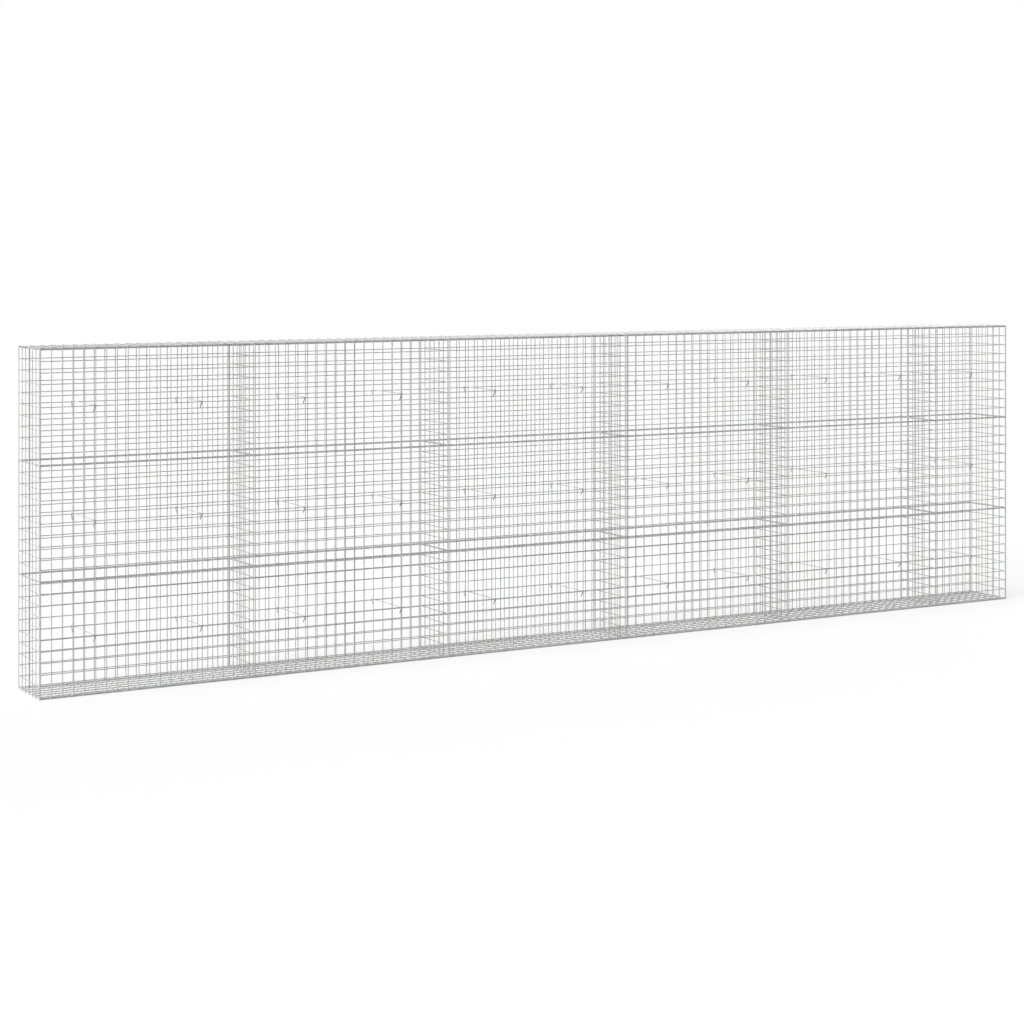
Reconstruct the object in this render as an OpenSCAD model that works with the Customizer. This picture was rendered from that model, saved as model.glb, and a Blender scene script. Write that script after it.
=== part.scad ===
// Gabion wall of welded wire mesh: five full baskets and one short one in a row, each three
// mesh panels high, with partitions between them, spacer ties through them and hinged covers.
// Origin at the middle of the footprint on the ground, X along the wall, front towards -Y.

/* [Wall] */
// Length of a full bay, from joint to joint
bay_l = 1000; // [600:10:1400]
// Length of the short bay at the right end
short_bay_l = 500; // [300:10:800]
// Height of one row of panels
row_h = 500; // [300:10:700]
// Depth of the wall over its mesh faces
depth = 300; // [220:10:600]

/* [Mesh] */
// Thickness of the mesh wire
wire = 4; // [3:0.5:5]
// Nearest spacing of the mesh wires, adjusted to whole cells in each panel
mesh = 50; // [40:5:100]
// How far crossing wires sink into each other at a weld
weld = 0.5; // [0.3:0.1:1]
// Length of the wire ends that stand below the lowest wire
foot = 5; // [2:1:15]
// How far the level wires of the front and back stand past the end uprights
stub = 2; // [0:0.5:4]

/* [Fits] */
// Gap between neighbouring panels in one face
joint_gap = 0.6; // [0.4:0.1:0.9]
// Gap around the panels that stand between the front and the back
fit = 0.5; // [0.3:0.1:0.9]
// Gap between the covers of neighbouring bays
cover_gap = 5; // [5:1:20]
// Gap under a closed cover and under a tie
seat = 0.3; // [0.2:0.1:0.8]

/* [Ties] */
// Thickness of the spacer tie rod
tie_wire = 4; // [3:0.5:6]
// How far the bend of a tie stands out from the mesh face
tie_reach = 5; // [5:1:30]
// Gap between a tie and the upright on its right
tie_side = 2.4; // [0.3:0.1:8]
// Radius of the tie's bend at the middle of the rod
tie_bend = 6; // [4:0.5:6.5]
// Angle that the end of a tie is bent round
tie_turn = 123; // [95:1:130]
// Straight length of a tie's bent end
tie_leg = 24; // [15:1:40]

/* [Hinges] */
// Thickness of the wire of a hinge ring
ring_wire = 2.5; // [2:0.5:4]
// Play of a hinge ring around the wires that it holds
ring_play = 0.4; // [0.3:0.1:0.8]

/* [Hidden] */

full_bays = 5;
bays = full_bays + 1;
rows = 3;
wall_l = full_bays * bay_l + short_bay_l;
wall_top = foot + rows * row_h - joint_gap / 2;

// Thickness of a panel, whose two layers of wire bite into each other
panel_t = 2 * wire - weld;
// Width left between the front and back panels
inner_w = depth - 2 * panel_t - 2 * fit;
// Middle of the inner layer of wires in the front and back panels
rail_y = depth / 2 - 1.5 * wire + weld;

row_cells = round(row_h / mesh);
depth_cells = round(depth / mesh);

hinge_z = wall_top + seat + wire / 2;
bend_steps = 4;
ring_cuts = [0.15, 0.5, 0.85];

function bay_x(b) = -wall_l / 2 + b * bay_l;
function bay_end(b) = b < full_bays ? bay_x(b + 1) : wall_l / 2;
function bay_len(b) = bay_end(b) - bay_x(b);
function bay_cells(b) = round(bay_len(b) / mesh);
function row_z(r) = foot + r * row_h + joint_gap / 2;

// Near side of wire i in a panel of length l that has n cells
function wire_at(i, l, n) = i * (l - wire) / n;
// Lengthwise wires that carry a panel: its two edges and the middle one, finer wires left out
function carriers(n) = [0, round(n / 2), n];
// Upright wires of a bay that have a tie on their left: a quarter of the bay from each end
function tie_wires(b) = b < full_bays ? [round(bay_cells(b) / 4), round(bay_cells(b) * 3 / 4)]
                                      : [round(bay_cells(b) / 2)];
function tie_x(b, i) = bay_x(b) + joint_gap / 2 + stub
                       + wire_at(i, bay_len(b) - joint_gap - 2 * stub, bay_cells(b))
                       - tie_side - tie_wire / 2;
// Cells of a bay whose middle has a hinge ring
function ring_cells(b) = b < full_bays ? [for (c = ring_cuts) floor(bay_cells(b) * c)]
                                       : [for (c = [0.25, 0.75]) floor(bay_cells(b) * c)];

// Half of a tie's line, from the middle of the rod round the bend to the tip
function tie_line() =
    let (c = depth / 2 + tie_reach - tie_wire / 2 - tie_bend)
    [
        for (i = [0 : bend_steps])
            let (a = tie_turn * i / bend_steps)
            [[c + tie_bend * sin(a), tie_bend * cos(a) - tie_bend], a],
        [[c + tie_bend * sin(tie_turn) + tie_leg * cos(tie_turn),
          tie_bend * cos(tie_turn) - tie_bend - tie_leg * sin(tie_turn)], tie_turn]
    ];

// One welded panel standing on its long side: upright wires in front, level wires behind, which
// stand past the end uprights by the length past
module panel(l, h, cols, levels, below = 0, past = 0) {
    for (i = [0 : cols])
        translate([past + wire_at(i, l - 2 * past, cols), 0, -below])
            cube([wire, wire, h + below]);
    for (j = carriers(levels))
        translate([0, wire - weld, wire_at(j, h, levels)])
            cube([l, wire, wire]);
}

// Front panel of bay b in row r
module face_panel(b, r) {
    translate([bay_x(b) + joint_gap / 2, -depth / 2, row_z(r)])
        panel(bay_len(b) - joint_gap, row_h - joint_gap, bay_cells(b), row_cells,
              r == 0 ? foot + joint_gap / 2 : 0, stub);
}

module front_panels(first, last, r) {
    color("silver")
        for (b = [first : last])
            face_panel(b, r);
}

module back_panels(first, last, r) {
    color("silver")
        mirror([0, 1, 0])
            for (b = [first : last])
                face_panel(b, r);
}

// Three panels one above the other across the wall, with their outer layer at x
module cross_panels(x) {
    for (r = [0 : rows - 1])
        translate([x, inner_w / 2, row_z(r)])
            rotate([0, 0, -90])
                panel(inner_w, row_h - joint_gap, depth_cells, row_cells,
                      r == 0 ? foot + joint_gap / 2 : 0);
}

module left_end() {
    color("silver")
        cross_panels(-wall_l / 2);
}

module right_end() {
    color("silver")
        mirror([1, 0, 0])
            cross_panels(-wall_l / 2);
}

module partition(b) {
    color("darkgray")
        cross_panels(bay_x(b) - panel_t / 2);
}

// Base panel of each bay, level wires lowest, fitted between the upright panels
module base_panels(first, last) {
    color("darkgray")
        for (b = [first : last]) {
            x0 = bay_x(b) + (b == 0 ? panel_t : panel_t / 2) + fit;
            x1 = bay_end(b) - (b == full_bays ? panel_t : panel_t / 2) - fit;
            translate([x0, -inner_w / 2, panel_t])
                rotate([-90, 0, 0])
                    panel(x1 - x0, inner_w, bay_cells(b), depth_cells);
        }
}

// Hinged cover of bay b: its long wires lie on the walls under its cross wires, and the back one
// turns in the hinge rings
module cover(b) {
    l = bay_len(b) - cover_gap;
    color("lightgray")
        translate([bay_x(b) + cover_gap / 2, 0, wall_top + seat]) {
            for (i = [0 : bay_cells(b)])
                translate([wire_at(i, l, bay_cells(b)), -depth / 2, wire - weld])
                    cube([wire, depth / 2 + rail_y, wire]);
            for (j = [0, round(depth_cells / 2)])
                translate([0, -rail_y - wire / 2 + 2 * rail_y * j / depth_cells, 0])
                    cube([l, wire, wire]);
            translate([0, rail_y, wire / 2])
                rotate([0, 90, 0])
                    cylinder(d = wire, h = l, $fn = 32);
        }
}

// One spacer tie across the wall, the middle of its rod at x, z
module tie(x, z) {
    half = tie_line();
    outer = [for (p = half) p[0] + tie_wire / 2 * [sin(p[1]), cos(p[1])]];
    inner = [for (p = half) p[0] - tie_wire / 2 * [sin(p[1]), cos(p[1])]];
    n = len(half);
    translate([x - tie_wire / 2, 0, z])
        rotate([90, 0, 90])
            linear_extrude(height = tie_wire)
                polygon(concat(
                    outer,
                    [for (i = [n - 1 : -1 : 0]) inner[i]],
                    [for (i = [0 : n - 1]) [-inner[i].x, inner[i].y]],
                    [for (i = [n - 1 : -1 : 0]) [-outer[i].x, outer[i].y]]
                ));
}

module ties(r) {
    level = wire_at(carriers(row_cells)[1], row_h - joint_gap, row_cells);
    z = row_z(r) + level + wire + seat + tie_wire / 2;
    color("dimgray")
        for (b = [0 : full_bays])
            for (i = tie_wires(b))
                tie(tie_x(b, i), z);
}

// Closed ring around the top wire of the back panel and the hinge wire of a cover
module hinge_ring(x) {
    low = wall_top - wire - ring_play;
    high = hinge_z + wire / 2 + ring_play;
    w = wire + 2 * ring_play;
    cut = ring_wire * 0.8;
    translate([x - ring_wire / 2, rail_y - w / 2, low])
        rotate([90, 0, 90])
            linear_extrude(height = ring_wire)
                difference() {
                    polygon([
                        [cut - ring_wire, -ring_wire],
                        [w + ring_wire - cut, -ring_wire],
                        [w + ring_wire, cut - ring_wire],
                        [w + ring_wire, high - low + ring_wire - cut],
                        [w + ring_wire - cut, high - low + ring_wire],
                        [cut - ring_wire, high - low + ring_wire],
                        [-ring_wire, high - low + ring_wire - cut],
                        [-ring_wire, cut - ring_wire]
                    ]);
                    square([w, high - low]);
                }
}

module hinge_rings() {
    color("gray")
        for (b = [0 : full_bays])
            for (c = ring_cells(b))
                hinge_ring(bay_x(b) + bay_len(b) * (c + 0.5) / bay_cells(b));
}

front_panels(0, 1, 0);  // front_lower_left
front_panels(2, 3, 0);  // front_lower_middle
front_panels(4, 5, 0);  // front_lower_right
front_panels(0, 1, 1);  // front_centre_left
front_panels(2, 3, 1);  // front_centre_middle
front_panels(4, 5, 1);  // front_centre_right
front_panels(0, 1, 2);  // front_upper_left
front_panels(2, 3, 2);  // front_upper_middle
front_panels(4, 5, 2);  // front_upper_right
back_panels(0, 1, 0);  // back_lower_left
back_panels(2, 3, 0);  // back_lower_middle
back_panels(4, 5, 0);  // back_lower_right
back_panels(0, 1, 1);  // back_centre_left
back_panels(2, 3, 1);  // back_centre_middle
back_panels(4, 5, 1);  // back_centre_right
back_panels(0, 1, 2);  // back_upper_left
back_panels(2, 3, 2);  // back_upper_middle
back_panels(4, 5, 2);  // back_upper_right
left_end();
partition(1);  // partition_1
partition(2);  // partition_2
partition(3);  // partition_3
partition(4);  // partition_4
partition(5);  // partition_5
right_end();
base_panels(0, 1);  // base_left
base_panels(2, 3);  // base_middle
base_panels(4, 5);  // base_right
cover(0);  // cover_1
cover(1);  // cover_2
cover(2);  // cover_3
cover(3);  // cover_4
cover(4);  // cover_5
cover(5);  // cover_6
ties(0);  // ties_lower
ties(1);  // ties_centre
ties(2);  // ties_upper
hinge_rings();
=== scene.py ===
"""Gabion wall: every wire, weld, tie and hinge ring of the empty baskets, with the stage around them."""

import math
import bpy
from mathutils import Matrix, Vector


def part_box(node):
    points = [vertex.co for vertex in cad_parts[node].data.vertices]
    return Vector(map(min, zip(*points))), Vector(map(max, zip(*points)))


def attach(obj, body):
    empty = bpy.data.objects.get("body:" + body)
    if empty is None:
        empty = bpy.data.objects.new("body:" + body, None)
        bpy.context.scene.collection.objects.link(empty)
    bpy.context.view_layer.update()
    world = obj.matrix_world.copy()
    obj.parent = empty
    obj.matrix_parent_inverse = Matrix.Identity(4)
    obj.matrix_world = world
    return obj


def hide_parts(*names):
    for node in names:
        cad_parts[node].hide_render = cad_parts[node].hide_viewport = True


bl_info = {
    "name": "Gabion Wall",
    "version": (1, 0, 0),
    "blender": (4, 5, 0),
    "location": "3D View > Sidebar > Gabion",
    "description": "Welded mesh panels, spacer ties, hinge rings and hinged covers of a gabion wall",
    "category": "Add Mesh",
}

import bmesh
import bpy
from bpy.props import FloatProperty, FloatVectorProperty, IntProperty, PointerProperty
from mathutils import Matrix, Vector

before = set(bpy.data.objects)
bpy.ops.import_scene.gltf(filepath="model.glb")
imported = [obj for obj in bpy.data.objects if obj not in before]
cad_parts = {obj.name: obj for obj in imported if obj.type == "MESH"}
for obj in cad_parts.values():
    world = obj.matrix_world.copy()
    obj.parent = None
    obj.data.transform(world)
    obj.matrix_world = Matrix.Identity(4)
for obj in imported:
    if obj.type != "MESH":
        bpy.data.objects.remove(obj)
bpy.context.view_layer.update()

MM = 0.001

# Names in the frame: three rows, the bays of each third of the wall, and the panels across the wall
ROWS = ("lower", "centre", "upper")
THIRDS = {"left": (0, 1), "middle": (2, 3), "right": (4, 5)}
BAYS = 6
CROSS_PANELS = ("left_end", *(f"partition_{bay}" for bay in range(1, BAYS)), "right_end")
BASKET = "basket"

WELD = 1  # material slot of the welds of a mesh panel, after its wires
SHADED_BEND = 1  # material slot of the front bend of a tie, after its rod; its darker grey is painted shade

CRISP = math.radians(35)  # an edge shows as a crisp one where its faces meet at more than this
MERGE = 0.01 * MM  # points closer than this become one
DECIMALS = 6  # lengths in metres that agree to this many decimals count as the same
WELD_SIDES, WELD_RINGS = 8, 4  # few, because a weld is repeated thousands of times
ROD_SIDES, ROD_STEPS = 12, 12  # round a tie rod, and along its bend
RING_SIDES, RING_STEPS = 10, 10  # round a ring's wire, and along each half turn


def linear(code):
    """Linear colour of an sRGB hex code."""
    parts = [int(code[i : i + 2], 16) / 255 for i in (1, 3, 5)]
    return tuple(c / 12.92 if c <= 0.04045 else ((c + 0.055) / 1.055) ** 2.4 for c in parts)


# ---------------------------------------------------------------- settings


class GabionMeshSettings(bpy.types.PropertyGroup):
    """Sizes of the welded mesh."""

    wire: FloatProperty(
        name="Wire", description="Thickness of the mesh wire", default=4 * MM, min=MM, unit="LENGTH"
    )
    spacing: FloatProperty(
        name="Spacing", description="Nearest spacing of the wires",
        default=50 * MM, min=20 * MM, unit="LENGTH",
    )
    bite: FloatProperty(
        name="Weld bite", description="How far crossing wires sink into each other",
        default=0.5 * MM, min=0, unit="LENGTH",
    )
    stub: FloatProperty(
        name="Stub", description="How far the level wires of the front and back stand past the end uprights",
        default=2 * MM, min=0, unit="LENGTH",
    )
    sides: IntProperty(name="Sides", description="Sides of a round wire", default=12, min=6, max=24)
    chamfer: FloatProperty(
        name="End chamfer", description="Chamfer that the shears and the zinc leave on a wire end",
        default=0.5 * MM, min=0, unit="LENGTH",
    )
    weld_width: FloatProperty(
        name="Weld width", description="Width of the metal pressed out at a weld",
        default=3.4 * MM, min=0, unit="LENGTH",
    )
    weld_height: FloatProperty(
        name="Weld height", description="Height of the metal pressed out at a weld",
        default=2.4 * MM, min=0, unit="LENGTH",
    )


class GabionTieSettings(bpy.types.PropertyGroup):
    """Sizes of the spacer ties."""

    wire: FloatProperty(
        name="Rod", description="Thickness of the tie rod", default=4 * MM, min=MM, unit="LENGTH"
    )
    bend: FloatProperty(
        name="Bend", description="Radius of the bend at the middle of the rod",
        default=6 * MM, min=3 * MM, unit="LENGTH",
    )
    turn: FloatProperty(
        name="Turn", description="Angle that each end is bent round",
        default=math.radians(123), subtype="ANGLE",
    )
    leg: FloatProperty(
        name="Leg", description="Straight length of a bent end", default=24 * MM, min=5 * MM, unit="LENGTH"
    )
    chamfer: FloatProperty(
        name="End chamfer", description="Chamfer round a cut end of the rod",
        default=0.6 * MM, min=0, unit="LENGTH",
    )


class GabionRingSettings(bpy.types.PropertyGroup):
    """Sizes of the hinge rings."""

    wire: FloatProperty(
        name="Wire", description="Thickness of the ring's wire", default=2.5 * MM, min=MM, unit="LENGTH"
    )
    split: FloatProperty(
        name="Split", description="Gap between the closed ends of a ring",
        default=0.6 * MM, min=0, unit="LENGTH",
    )
    chamfer: FloatProperty(
        name="End chamfer", description="Chamfer round a cut end of the ring",
        default=0.3 * MM, min=0, unit="LENGTH",
    )


class GabionFinishSettings(bpy.types.PropertyGroup):
    """Colours and surfaces of the zinc."""

    pale: FloatVectorProperty(
        name="Pale zinc", description="Lighter crystals of the zinc on the wires",
        default=linear("#C8C8C8"), subtype="COLOR", min=0, max=1,
    )
    dull: FloatVectorProperty(
        name="Dull zinc", description="Darker crystals of the zinc on the wires",
        default=linear("#B3B3B3"), subtype="COLOR", min=0, max=1,
    )
    weld_pale: FloatVectorProperty(
        name="Weld, pale", description="Lighter zinc over a weld",
        default=linear("#BABABA"), subtype="COLOR", min=0, max=1,
    )
    weld_dull: FloatVectorProperty(
        name="Weld, dull", description="Darker zinc over a weld",
        default=linear("#A0A0A0"), subtype="COLOR", min=0, max=1,
    )
    rod_pale: FloatVectorProperty(
        name="Rod, pale", description="Lighter zinc of the tie rods",
        default=linear("#D2D2D2"), subtype="COLOR", min=0, max=1,
    )
    rod_dull: FloatVectorProperty(
        name="Rod, dull", description="Darker zinc of the tie rods",
        default=linear("#C0C0C0"), subtype="COLOR", min=0, max=1,
    )
    # painted shade: the front bend and leg of a tie face down, away from the light from above, so they are
    # given a darker grey than the rod
    shaded_bend_pale: FloatVectorProperty(
        name="Bend, pale", description="Lighter zinc where a tie rod is bent",
        default=linear("#9C9C9C"), subtype="COLOR", min=0, max=1,
    )
    shaded_bend_dull: FloatVectorProperty(
        name="Bend, dull", description="Darker zinc where a tie rod is bent",
        default=linear("#868686"), subtype="COLOR", min=0, max=1,
    )
    crystal: FloatProperty(
        name="Crystal", description="Size of the zinc crystals", default=3.5 * MM, min=MM, unit="LENGTH"
    )
    patch: FloatProperty(
        name="Patch", description="Size of the duller patches along the wires",
        default=90 * MM, min=10 * MM, unit="LENGTH",
    )
    roughness: FloatProperty(
        name="Roughness", description="Middle roughness of the zinc",
        default=0.45, min=0, max=1, subtype="FACTOR",
    )
    bare: FloatProperty(
        name="Bare metal", description="Share of the zinc that its matt grey bloom doesn't cover",
        default=0.2, min=0, max=1, subtype="FACTOR",
    )


class GabionStageSettings(bpy.types.PropertyGroup):
    """Floor, light and camera."""

    floor: FloatVectorProperty(
        name="Floor", description="Colour of the plain floor",
        default=linear("#F2F2F2"), subtype="COLOR", min=0, max=1,
    )
    bounce: FloatVectorProperty(
        name="Bounce", description="Colour of the light that the floor throws back up at the wall",
        default=linear("#606060"), subtype="COLOR", min=0, max=1,
    )
    floor_radius: FloatProperty(
        name="Floor radius", description="Radius of the floor", default=60.0, min=10, unit="LENGTH"
    )
    fade_start: FloatProperty(
        name="Fade start", description="Radius at which the floor starts to fade to white",
        default=4.0, min=1, unit="LENGTH",
    )
    fade_end: FloatProperty(
        name="Fade end", description="Radius at which the floor is all white",
        default=9.0, min=2, unit="LENGTH",
    )
    sky: FloatProperty(
        name="Sky", description="Level of the light from all round", default=0.12, min=0, max=1
    )
    key: FloatProperty(name="Key", description="Strength of the lamp from the left", default=4.3, min=0)
    top: FloatProperty(name="Top", description="Strength of the lamp from above", default=1.4, min=0)
    rim: FloatProperty(name="Rim", description="Strength of the lamp behind on the right", default=1.5, min=0)
    shadow: FloatProperty(
        name="Shadow", description="How much of the shadow the floor shows",
        default=0.3, min=0, max=1, subtype="FACTOR",
    )
    lens: FloatProperty(name="Lens", description="Focal length in millimetres", default=79.03, min=10)
    shift: FloatProperty(name="Shift", description="Vertical shift of the camera", default=-0.2609)
    eye: FloatVectorProperty(
        name="Eye", description="Place of the camera",
        default=(-5.845, -9.497, 1.954), subtype="TRANSLATION", unit="LENGTH",
    )
    heading: FloatProperty(
        name="Heading", description="Direction of view, from straight at the front towards the right",
        default=math.radians(30.19), subtype="ANGLE",
    )


# ---------------------------------------------------------------- places, from the frame


def joint_gap():
    """Gap between neighbouring panels in one face."""
    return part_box("front_centre_left")[0].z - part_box("front_lower_left")[1].z


def bays():
    """Both ends of each bay's face panels along the wall."""
    covers = [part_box(f"cover_{bay + 1}") for bay in range(BAYS)]
    borders = [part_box("left_end")[0].x]
    borders += [(a[1].x + b[0].x) / 2 for a, b in zip(covers, covers[1:])]
    borders += [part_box("right_end")[1].x]
    half = joint_gap() / 2
    return [(a + half, b - half) for a, b in zip(borders, borders[1:])]


def row_span(row):
    """Lowest wire's underside and top of a row, and how far its wire ends stand below."""
    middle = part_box("front_centre_left")
    low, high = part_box(f"front_{row}_left")
    bottom = high.z - (middle[1].z - middle[0].z)
    return bottom, high.z, bottom - low.z


def stations(length, spacing, wire):
    """Middles of evenly spaced wires whose outer sides are that length apart."""
    cells = round(length / spacing)
    return [wire / 2 + (length - wire) * i / cells for i in range(cells + 1)]


def middles(node, width):
    """Middle of each like solid of a node along the wall, where each is that wide and they stand apart."""
    past = 1.1 * width  # further on than this from a solid's first corner is the next solid
    found = []
    for x in sorted(v.co.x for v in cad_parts[node].data.vertices):
        if not found or x > found[-1] + past:
            found.append(x)
    return [x + width / 2 for x in found]


# ---------------------------------------------------------------- shapes


def mesh_of(bm, name):
    """A mesh of bm, which is freed."""
    mesh = bpy.data.meshes.new(name)
    bm.to_mesh(mesh)
    bm.free()
    return mesh


def finished(bm, name):
    """A smooth mesh of bm with its crisp edges marked."""
    for face in bm.faces:
        face.smooth = True
    for edge in bm.edges:
        edge.smooth = edge.calc_face_angle(0) < CRISP
    return mesh_of(bm, name)


def lay(bm, shape, place):
    """Adds a copy of a shape to bm."""
    copy = shape.copy()
    copy.transform(place)
    bm.from_mesh(copy)
    bpy.data.meshes.remove(copy)


def chamfer_rims(bm, edges, width):
    """Cuts one flat chamfer along the rims of a wire's ends."""
    bmesh.ops.bevel(
        bm, geom=edges, offset=width, offset_type="OFFSET", affect="EDGES",
        segments=1, profile=0.5, material=-1,
    )


def straight_wire(s, length):
    """A cut length of round wire standing on the origin."""
    radius = s.wire / 2
    bm = bmesh.new()
    bmesh.ops.create_cone(
        bm, cap_ends=True, cap_tris=False, segments=s.sides, radius1=radius, radius2=radius,
        depth=length, matrix=Matrix.Translation((0, 0, length / 2)),
    )
    rims = [e for e in bm.edges if abs(e.verts[0].co.z - e.verts[1].co.z) < length / 2]
    chamfer_rims(bm, rims, s.chamfer)
    return finished(bm, "wire")


def weld_bead(s):
    """Metal that the weld presses out between two crossing wires, flat along Y."""
    bm = bmesh.new()
    # a ball one unit across, to be scaled to the weld's own size
    bmesh.ops.create_uvsphere(bm, u_segments=WELD_SIDES, v_segments=WELD_RINGS, radius=0.5)
    bmesh.ops.scale(bm, vec=(s.weld_width, s.weld_width, s.weld_height), verts=bm.verts)
    bmesh.ops.rotate(bm, matrix=Matrix.Rotation(math.pi / 2, 3, "X"), verts=bm.verts)
    for face in bm.faces:
        face.smooth = True
        face.material_index = WELD
    return mesh_of(bm, "weld")


class Weaver:
    """Makes flat panels of welded mesh, and keeps each size that it has made."""

    def __init__(self, settings):
        self.s = settings
        self.bead = weld_bead(settings)
        self.wires = {}
        self.panels = {}

    def wire(self, length):
        """A straight wire of that length."""
        key = round(length, DECIMALS)
        if key not in self.wires:
            self.wires[key] = straight_wire(self.s, length)
        return self.wires[key]

    def panel(self, xs, zs, across, up):
        """Uprights at xs reaching over up, in front of level wires at zs reaching over across."""
        key = tuple(round(v, DECIMALS) for v in (*xs, *zs, *across, *up))
        if key in self.panels:
            return self.panels[key]
        near = self.s.wire / 2
        far = near + self.s.wire - self.s.bite
        upright = self.wire(up[1] - up[0])
        level = self.wire(across[1] - across[0])
        lying = Matrix.Rotation(math.pi / 2, 4, "Y")
        bm = bmesh.new()
        for x in xs:
            lay(bm, upright, Matrix.Translation((x, near, up[0])))
        for z in zs:
            lay(bm, level, Matrix.Translation((across[0], far, z)) @ lying)
        for x in xs:
            for z in zs:
                lay(bm, self.bead, Matrix.Translation((x, (near + far) / 2, z)))
        self.panels[key] = mesh_of(bm, "panel")
        return self.panels[key]

    def even_panel(self, length, height, below=0.0, stub=0.0):
        """A panel with its corner at the origin and evenly spaced wires in both layers."""
        s = self.s
        xs = [x + stub for x in stations(length - 2 * stub, s.spacing, s.wire)]
        return self.panel(xs, stations(height, s.spacing, s.wire), (0, length), (-below, height))

    def clear(self):
        """Removes the shapes, once the pieces hold copies of them."""
        for mesh in (self.bead, *self.wires.values(), *self.panels.values()):
            bpy.data.meshes.remove(mesh)


def circle(bm, radius, sides, place):
    """Adds an open circle of edges and returns them."""
    made = bmesh.ops.create_circle(bm, cap_ends=False, segments=sides, radius=radius, matrix=place)
    return list({e for v in made["verts"] for e in v.link_edges})


def bent_tie(s, reach):
    """A tie rod along Y through the origin, with both ends bent down and in."""
    radius = s.wire / 2
    start = reach - radius - s.bend
    bm = bmesh.new()
    edges = circle(bm, radius, ROD_SIDES, Matrix.Rotation(math.pi / 2, 4, "X"))
    edges = pulled(bm, edges, Vector((0, start, 0)))
    edges = bent(bm, edges, Vector((0, start, -s.bend)), -s.turn, ROD_STEPS)
    edges = pulled(bm, edges, Vector((0, math.cos(s.turn), -math.sin(s.turn))) * s.leg)
    bmesh.ops.edgeloop_fill(bm, edges=edges)
    chamfer_rims(bm, edges, s.chamfer)
    bmesh.ops.mirror(bm, geom=bm.verts[:] + bm.edges[:] + bm.faces[:], axis="Y", merge_dist=MERGE)
    bmesh.ops.remove_doubles(bm, verts=bm.verts, dist=MERGE)
    bmesh.ops.recalc_face_normals(bm, faces=bm.faces)
    # the front bend and the leg beyond it take the darker grey of painted shade, as they face down, away from
    # the light from above
    for face in bm.faces:
        middle = face.calc_center_median()
        if middle.y < 0 and (middle.y < -start or middle.z < -radius):
            face.material_index = SHADED_BEND
    return finished(bm, "tie")


def pulled(bm, edges, step):
    """Extrudes a ring of edges and returns the new ring."""
    made = bmesh.ops.extrude_edge_only(bm, edges=edges)["geom"]
    bmesh.ops.translate(bm, vec=step, verts=[g for g in made if isinstance(g, bmesh.types.BMVert)])
    return [g for g in made if isinstance(g, bmesh.types.BMEdge)]


def bent(bm, edges, centre, angle, steps):
    """Turns a ring of edges about an axis along X and returns the last ring."""
    made = bmesh.ops.spin(
        bm, geom=edges, cent=centre, axis=(1, 0, 0), angle=angle, steps=steps, use_merge=False
    )["geom_last"]
    return [g for g in made if isinstance(g, bmesh.types.BMEdge)]


def closed_ring(s, low, high, bend):
    """A wire ring closed round two wires along X, one at low and one at high, split at the back."""
    start = (low + high) / 2 + Vector((0, bend, s.split / 2))
    bm = bmesh.new()
    first = circle(bm, s.wire / 2, RING_SIDES, Matrix.Translation(start))
    edges = pulled(bm, first, Vector((0, 0, high.z - start.z)))
    edges = bent(bm, edges, high, math.pi, RING_STEPS)
    edges = pulled(bm, edges, low - high)
    edges = bent(bm, edges, low, math.pi, RING_STEPS)
    last = pulled(bm, edges, Vector((0, 0, start.z - s.split - low.z)))
    bmesh.ops.edgeloop_fill(bm, edges=first)
    bmesh.ops.edgeloop_fill(bm, edges=last)
    bmesh.ops.recalc_face_normals(bm, faces=bm.faces)
    chamfer_rims(bm, first + last, s.chamfer)
    return finished(bm, "ring")


def piece(name, shapes, materials, node, body=BASKET):
    """Adds one object of placed shapes that stands for a node of the frame."""
    bm = bmesh.new()
    for shape, place in shapes:
        lay(bm, shape, place)
    mesh = mesh_of(bm, name)
    for material in materials:
        mesh.materials.append(material)
    obj = bpy.data.objects.new(name, mesh)
    bpy.context.scene.collection.objects.link(obj)
    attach(obj, body)
    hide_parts(node)


# ---------------------------------------------------------------- materials


# How the zinc varies from place to place
PATCH_SHARE = 0.45  # how much of the shade comes from the patches, the rest being the crystals'
PATCH_PALE, PATCH_DULL = 0.35, 0.65  # noise levels at which a patch is at its palest and dullest
SMOOTHER, ROUGHER = -0.08, 0.1  # furthest steps from the middle roughness
RIPPLE = 0.8 * MM  # width of the skin's own ripple
RIPPLE_DEPTH = 0.1 * MM
RIPPLE_STRENGTH = 0.25


def add(tree, kind, inputs=None, **settings):
    """Adds a node with its settings, and sets or links its inputs."""
    node = tree.nodes.new(kind)
    for name, value in settings.items():
        setattr(node, name, value)
    for name, value in (inputs or {}).items():
        if isinstance(value, bpy.types.NodeSocket):
            tree.links.new(value, node.inputs[name])
        else:
            node.inputs[name].default_value = value
    return node


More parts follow.
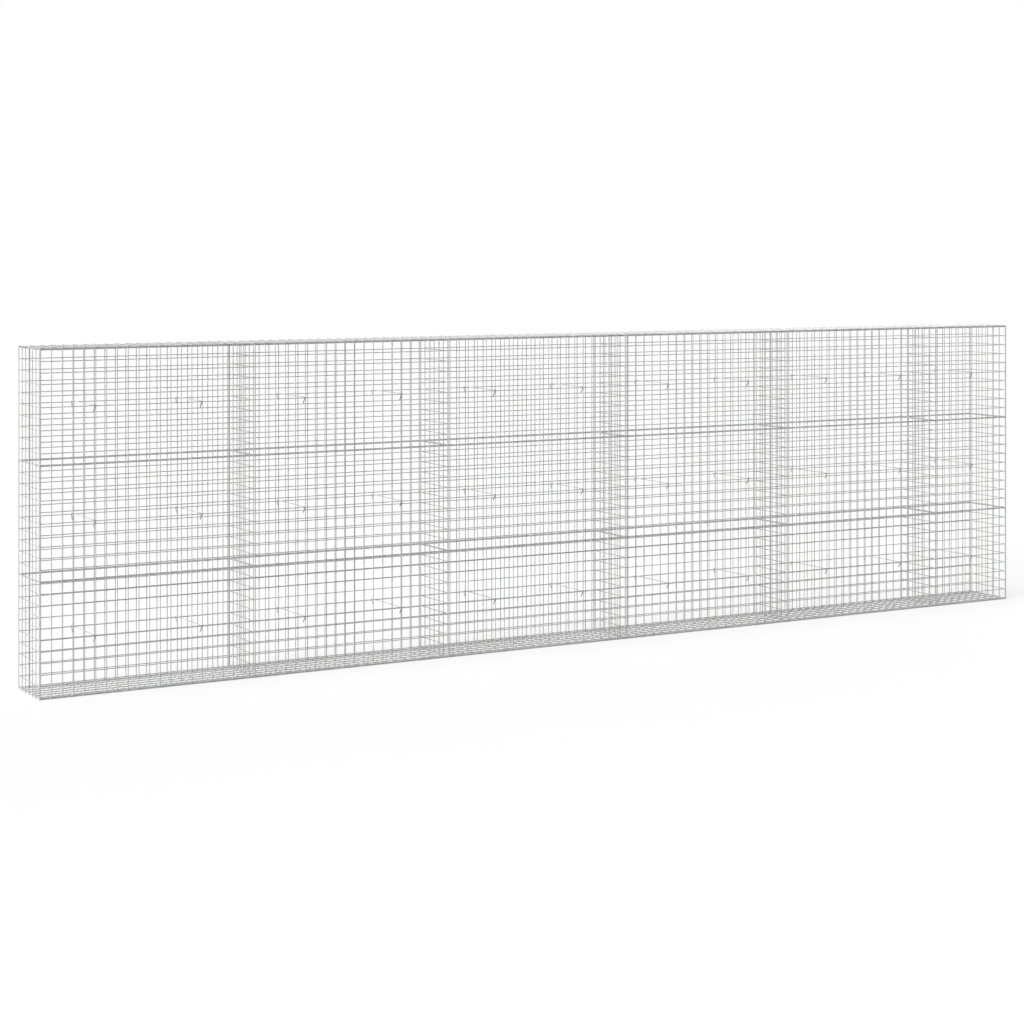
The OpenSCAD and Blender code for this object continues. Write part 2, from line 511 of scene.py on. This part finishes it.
def galvanised(name, pale, dull, roughness, finish):
    """Zinc on steel wire: crystals a few millimetres wide, each a little lighter or darker and smoother
    or rougher than the next, with duller patches along the wire and a faintly rippled skin."""
    if name in bpy.data.materials:
        return bpy.data.materials[name]
    material = bpy.data.materials.new(name)
    material.use_nodes = True
    tree = material.node_tree
    tree.nodes.clear()
    place = add(tree, "ShaderNodeTexCoord").outputs["Object"]
    crystals = add(tree, "ShaderNodeTexVoronoi", {"Vector": place, "Scale": 1 / finish.crystal})
    crystal = add(tree, "ShaderNodeSeparateColor", {"Color": crystals.outputs["Color"]}).outputs["Red"]
    patches = add(
        tree, "ShaderNodeTexNoise",
        {"Vector": place, "Scale": 1 / finish.patch, "Detail": 3.0, "Roughness": 0.6},
    ).outputs["Fac"]
    patchy = add(
        tree, "ShaderNodeMapRange", {"Value": patches, "From Min": PATCH_PALE, "From Max": PATCH_DULL}
    ).outputs["Result"]
    shade = add(tree, "ShaderNodeMix", {0: PATCH_SHARE, 2: crystal, 3: patchy}).outputs[0]
    colour = add(
        tree, "ShaderNodeMix", {0: shade, 6: (*pale, 1), 7: (*dull, 1)}, data_type="RGBA"
    ).outputs[2]
    rough = add(
        tree, "ShaderNodeMapRange",
        {"Value": shade, "To Min": roughness + SMOOTHER, "To Max": roughness + ROUGHER},
    ).outputs["Result"]
    ripple = add(
        tree, "ShaderNodeTexNoise", {"Vector": place, "Scale": 1 / RIPPLE, "Detail": 1.0}
    ).outputs["Fac"]
    bump = add(
        tree, "ShaderNodeBump",
        {"Height": ripple, "Strength": RIPPLE_STRENGTH, "Distance": RIPPLE_DEPTH},
    ).outputs["Normal"]
    metal = add(
        tree, "ShaderNodeBsdfPrincipled",
        {"Base Color": colour, "Metallic": finish.bare, "Roughness": rough, "Normal": bump},
    )
    add(tree, "ShaderNodeOutputMaterial", {"Surface": metal.outputs["BSDF"]})
    return material


def panel_materials(finish):
    """The zinc of a mesh panel, over its wires and over its welds."""
    # drawn steel wire hot-dipped in zinc: a pale, mostly matt grey
    wires = galvanised("galvanised_steel_wire", finish.pale, finish.dull, finish.roughness, finish)
    # the zinc lies unevenly over the burnt metal of a weld: a darker and rougher grey
    rough = finish.roughness + ROUGHER
    welds = galvanised("zinc_over_weld", finish.weld_pale, finish.weld_dull, rough, finish)
    return [wires, welds]


def tie_materials(finish):
    """The zinc of a tie, along its rod and at its front bend, where a darker grey is painted shade."""
    # drawn rod with a thin zinc coat: smoother and lighter than the dipped mesh
    smooth = finish.roughness + SMOOTHER
    rod = galvanised("zinc_coated_rod", finish.rod_pale, finish.rod_dull, smooth, finish)
    # the front end is rougher, and its darker grey is painted shade, for it faces down, away from the light
    # from above
    rough = finish.roughness + ROUGHER
    bend = galvanised("zinc_crazed_at_bend", finish.shaded_bend_pale, finish.shaded_bend_dull, rough, finish)
    return [rod, bend]


def ring_materials(finish):
    """The zinc of a hinge ring."""
    # drawn wire with a thin zinc coat: as pale as a tie rod in places, as dull as the mesh in others
    return [galvanised("zinc_coated_ring_wire", finish.rod_pale, finish.dull, finish.roughness, finish)]


# ---------------------------------------------------------------- operators


class GABION_OT_face_panels(bpy.types.Operator):
    """Adds the front and back panels, three rows of them along the wall"""

    bl_idname = "object.gabion_face_panels"
    bl_label = "Face Panels"
    bl_options = {"REGISTER", "UNDO"}

    def execute(self, context):
        s = context.scene.gabion_mesh
        materials = panel_materials(context.scene.gabion_finish)
        weaver = Weaver(s)
        spans = bays()
        for face, turn in (("front", 0.0), ("back", math.pi)):
            for row in ROWS:
                bottom, top, below = row_span(row)
                for third, numbers in THIRDS.items():
                    node = f"{face}_{row}_{third}"
                    low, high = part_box(node)
                    shapes = []
                    for bay in numbers:
                        left, right = spans[bay]
                        panel = weaver.even_panel(right - left, top - bottom, below, s.stub)
                        corner = (left, low.y, bottom) if face == "front" else (right, high.y, bottom)
                        shapes.append((panel, Matrix.Translation(corner) @ Matrix.Rotation(turn, 4, "Z")))
                    piece(f"mesh_{node}", shapes, materials, node)
        weaver.clear()
        return {"FINISHED"}


class GABION_OT_cross_panels(bpy.types.Operator):
    """Adds both ends and the partitions between the baskets"""

    bl_idname = "object.gabion_cross_panels"
    bl_label = "Ends and Partitions"
    bl_options = {"REGISTER", "UNDO"}

    def execute(self, context):
        s = context.scene.gabion_mesh
        materials = panel_materials(context.scene.gabion_finish)
        weaver = Weaver(s)
        for node in CROSS_PANELS:
            low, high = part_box(node)
            # the uprights are outside at both ends, and to the left in a partition
            x, y, turn = (high.x, low.y, 1) if node == "right_end" else (low.x, high.y, -1)
            shapes = []
            for row in ROWS:
                bottom, top, below = row_span(row)
                panel = weaver.even_panel(high.y - low.y, top - bottom, below)
                place = Matrix.Translation((x, y, bottom)) @ Matrix.Rotation(turn * math.pi / 2, 4, "Z")
                shapes.append((panel, place))
            piece(f"mesh_{node}", shapes, materials, node)
        weaver.clear()
        return {"FINISHED"}


class GABION_OT_base_panels(bpy.types.Operator):
    """Adds the base panel of each basket"""

    bl_idname = "object.gabion_base_panels"
    bl_label = "Base Panels"
    bl_options = {"REGISTER", "UNDO"}

    def execute(self, context):
        s = context.scene.gabion_mesh
        materials = panel_materials(context.scene.gabion_finish)
        weaver = Weaver(s)
        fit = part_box("base_left")[0].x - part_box("left_end")[1].x
        for third, numbers in THIRDS.items():
            node = f"base_{third}"
            low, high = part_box(node)
            shapes = []
            for bay in numbers:
                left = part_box(CROSS_PANELS[bay])[1].x + fit
                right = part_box(CROSS_PANELS[bay + 1])[0].x - fit
                panel = weaver.even_panel(right - left, high.y - low.y)
                place = Matrix.Translation((left, low.y, high.z)) @ Matrix.Rotation(-math.pi / 2, 4, "X")
                shapes.append((panel, place))
            piece(f"mesh_{node}", shapes, materials, node)
        weaver.clear()
        return {"FINISHED"}


class GABION_OT_covers(bpy.types.Operator):
    """Adds the hinged cover of each basket, which turns about its back wire"""

    bl_idname = "object.gabion_covers"
    bl_label = "Covers"
    bl_options = {"REGISTER", "UNDO"}

    def execute(self, context):
        s = context.scene.gabion_mesh
        materials = panel_materials(context.scene.gabion_finish)
        weaver = Weaver(s)
        for bay in range(BAYS):
            node = f"cover_{bay + 1}"
            low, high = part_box(node)
            length = high.x - low.x
            hinge = high.y - s.wire / 2
            reach = hinge - low.y
            # the front long wire lies as far from the wall's middle as the one that is the hinge
            inset = reach - 2 * hinge
            zs = [inset + z - s.wire / 2 for z in stations(reach - inset + s.wire, s.spacing, s.wire)]
            panel = weaver.panel(stations(length, s.spacing, s.wire), zs, (0, length), (0, reach))
            place = Matrix.Translation((low.x, low.y, high.z)) @ Matrix.Rotation(-math.pi / 2, 4, "X")
            piece(f"mesh_{node}", [(panel, place)], materials, node, node)
        weaver.clear()
        return {"FINISHED"}


class GABION_OT_ties(bpy.types.Operator):
    """Adds the spacer ties that hold the front and back together"""

    bl_idname = "object.gabion_ties"
    bl_label = "Spacer Ties"
    bl_options = {"REGISTER", "UNDO"}

    def execute(self, context):
        s = context.scene.gabion_tie
        materials = tie_materials(context.scene.gabion_finish)
        for row in ROWS:
            node = f"ties_{row}"
            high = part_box(node)[1]
            level = high.z - s.wire / 2
            tie = bent_tie(s, high.y)
            shapes = [(tie, Matrix.Translation((x, 0, level))) for x in middles(node, s.wire)]
            piece(f"rods_{node}", shapes, materials, node)
            bpy.data.meshes.remove(tie)
        return {"FINISHED"}


class GABION_OT_hinge_rings(bpy.types.Operator):
    """Adds the rings that hold each cover to the back panel"""

    bl_idname = "object.gabion_hinge_rings"
    bl_label = "Hinge Rings"
    bl_options = {"REGISTER", "UNDO"}

    def execute(self, context):
        s = context.scene.gabion_ring
        materials = ring_materials(context.scene.gabion_finish)
        low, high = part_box("hinge_rings")
        bend = (high.y - low.y - s.wire) / 2
        axis = (low.y + high.y) / 2
        inset = bend + s.wire / 2
        ring = closed_ring(s, Vector((0, axis, low.z + inset)), Vector((0, axis, high.z - inset)), bend)
        shapes = [(ring, Matrix.Translation((x, 0, 0))) for x in middles("hinge_rings", s.wire)]
        piece("rings_on_hinges", shapes, materials, "hinge_rings")
        bpy.data.meshes.remove(ring)
        return {"FINISHED"}


# Elevation, bearing and width of each lamp in degrees. Bearing 0 is straight in front of the wall, and
# below 0 to the left.
LAMPS = {"key": (17, -80, 35), "top": (80, -90, 30), "rim": (25, 140, 35)}
LAMP_DISTANCE = 8.0
FLOOR_SIDES = 96
SENSOR = 36.0  # width of the camera's sensor in millimetres
VIEW_END = 200.0  # how far the camera sees
WHITE = (1, 1, 1, 1)


class GABION_OT_stage(bpy.types.Operator):
    """Adds the plain floor, the lamps, the white surroundings and the camera"""

    bl_idname = "object.gabion_stage"
    bl_label = "Stage"
    bl_options = {"REGISTER", "UNDO"}

    def execute(self, context):
        s = context.scene.gabion_stage
        self.floor(context, s)
        self.surroundings(context, s)
        for name, angles in LAMPS.items():
            self.lamp(context, name, getattr(s, name), *(math.radians(angle) for angle in angles))
        self.camera(context, s)
        context.scene.view_settings.view_transform = "Standard"
        return {"FINISHED"}

    def floor(self, context, s):
        """A pale floor that fades into the white of the surroundings a few metres away."""
        bm = bmesh.new()
        bmesh.ops.create_circle(bm, cap_ends=True, segments=FLOOR_SIDES, radius=s.floor_radius)
        mesh = mesh_of(bm, "floor")
        # studio paper: a flat, pale white with no shine
        material = bpy.data.materials.new("matt_paper")
        material.use_nodes = True
        tree = material.node_tree
        tree.nodes.clear()
        place = add(tree, "ShaderNodeTexCoord").outputs["Object"]
        away = add(tree, "ShaderNodeVectorMath", {0: place}, operation="LENGTH").outputs["Value"]
        fade = add(
            tree, "ShaderNodeMapRange",
            {"Value": away, "From Min": s.fade_start, "From Max": s.fade_end, "To Min": 1 - s.shadow},
            interpolation_type="SMOOTHSTEP",
        ).outputs["Result"]
        seen = self.seen(tree)
        faded = add(tree, "ShaderNodeMath", {0: fade, 1: seen}, operation="MULTIPLY").outputs[0]
        colour = add(
            tree, "ShaderNodeMix", {0: seen, 6: (*s.bounce, 1), 7: (*s.floor, 1)}, data_type="RGBA"
        ).outputs[2]
        paper = add(tree, "ShaderNodeBsdfDiffuse", {"Color": colour}).outputs["BSDF"]
        white = add(tree, "ShaderNodeEmission", {"Color": WHITE, "Strength": 1.0}).outputs["Emission"]
        mix = add(tree, "ShaderNodeMixShader", {0: faded, 1: paper, 2: white}).outputs["Shader"]
        add(tree, "ShaderNodeOutputMaterial", {"Surface": mix})
        mesh.materials.append(material)
        obj = bpy.data.objects.new("floor", mesh)
        context.scene.collection.objects.link(obj)

    def seen(self, tree):
        """1 for what the camera and shiny surfaces see, 0 for what only lights things."""
        ray = add(tree, "ShaderNodeLightPath").outputs
        seen = ray["Is Camera Ray"]
        for kind in ("Is Glossy Ray", "Is Transmission Ray"):
            seen = add(tree, "ShaderNodeMath", {0: seen, 1: ray[kind]}, operation="MAXIMUM").outputs[0]
        return seen

    def surroundings(self, context, s):
        """White to the eye and in reflections, and softer as a light."""
        world = bpy.data.worlds.new("white_room")
        world.use_nodes = True
        tree = world.node_tree
        tree.nodes.clear()
        light = add(tree, "ShaderNodeBackground", {"Color": WHITE, "Strength": s.sky}).outputs[0]
        white = add(tree, "ShaderNodeBackground", {"Color": WHITE, "Strength": 1.0}).outputs[0]
        mix = add(tree, "ShaderNodeMixShader", {0: self.seen(tree), 1: light, 2: white}).outputs[0]
        add(tree, "ShaderNodeOutputWorld", {"Surface": mix})
        context.scene.world = world

    def lamp(self, context, name, strength, elevation, bearing, width):
        """A broad, even lamp that shines on the wall from that direction."""
        data = bpy.data.lights.new(name, "SUN")
        data.energy = strength
        data.angle = width
        obj = bpy.data.objects.new(name, data)
        level = math.cos(elevation)
        towards = Vector((math.sin(bearing) * level, -math.cos(bearing) * level, math.sin(elevation)))
        obj.rotation_euler = towards.to_track_quat("Z", "Y").to_euler()
        obj.location = towards * LAMP_DISTANCE
        context.scene.collection.objects.link(obj)

    def camera(self, context, s):
        """A level camera in front and to the left of the wall, turned towards it."""
        data = bpy.data.cameras.new("camera")
        data.lens = s.lens
        data.sensor_width = SENSOR
        data.shift_y = s.shift
        data.clip_end = VIEW_END
        obj = bpy.data.objects.new("camera", data)
        obj.location = s.eye
        obj.rotation_euler = (math.pi / 2, 0, -s.heading)
        context.scene.collection.objects.link(obj)
        context.scene.camera = obj


class GABION_PT_wall(bpy.types.Panel):
    """Sizes, finishes and pieces of the gabion wall"""

    bl_idname = "GABION_PT_wall"
    bl_label = "Gabion Wall"
    bl_space_type = "VIEW_3D"
    bl_region_type = "UI"
    bl_category = "Gabion"

    def draw(self, context):
        layout = self.layout
        for name, settings in SETTINGS.items():
            box = layout.box()
            box.label(text=settings.__doc__)
            for prop in settings.__annotations__:
                box.prop(getattr(context.scene, name), prop)
        for operator in OPERATORS:
            layout.operator(operator.bl_idname)


SETTINGS = {
    "gabion_mesh": GabionMeshSettings,
    "gabion_tie": GabionTieSettings,
    "gabion_ring": GabionRingSettings,
    "gabion_finish": GabionFinishSettings,
    "gabion_stage": GabionStageSettings,
}
OPERATORS = (
    GABION_OT_face_panels,
    GABION_OT_cross_panels,
    GABION_OT_base_panels,
    GABION_OT_covers,
    GABION_OT_ties,
    GABION_OT_hinge_rings,
    GABION_OT_stage,
)


def register():
    """Makes the classes and their settings known."""
    for cls in (*SETTINGS.values(), *OPERATORS, GABION_PT_wall):
        bpy.utils.register_class(cls)
    for name, settings in SETTINGS.items():
        setattr(bpy.types.Scene, name, PointerProperty(type=settings))


def unregister():
    """Takes the classes and their settings away."""
    for name in SETTINGS:
        delattr(bpy.types.Scene, name)
    for cls in (GABION_PT_wall, *reversed(OPERATORS), *SETTINGS.values()):
        bpy.utils.unregister_class(cls)


def main():
    """Builds the wall and its stage."""
    register()
    bpy.ops.object.gabion_face_panels()
    bpy.ops.object.gabion_cross_panels()
    bpy.ops.object.gabion_base_panels()
    bpy.ops.object.gabion_covers()
    bpy.ops.object.gabion_ties()
    bpy.ops.object.gabion_hinge_rings()
    bpy.ops.object.gabion_stage()


if __name__ == "__main__":
    main()
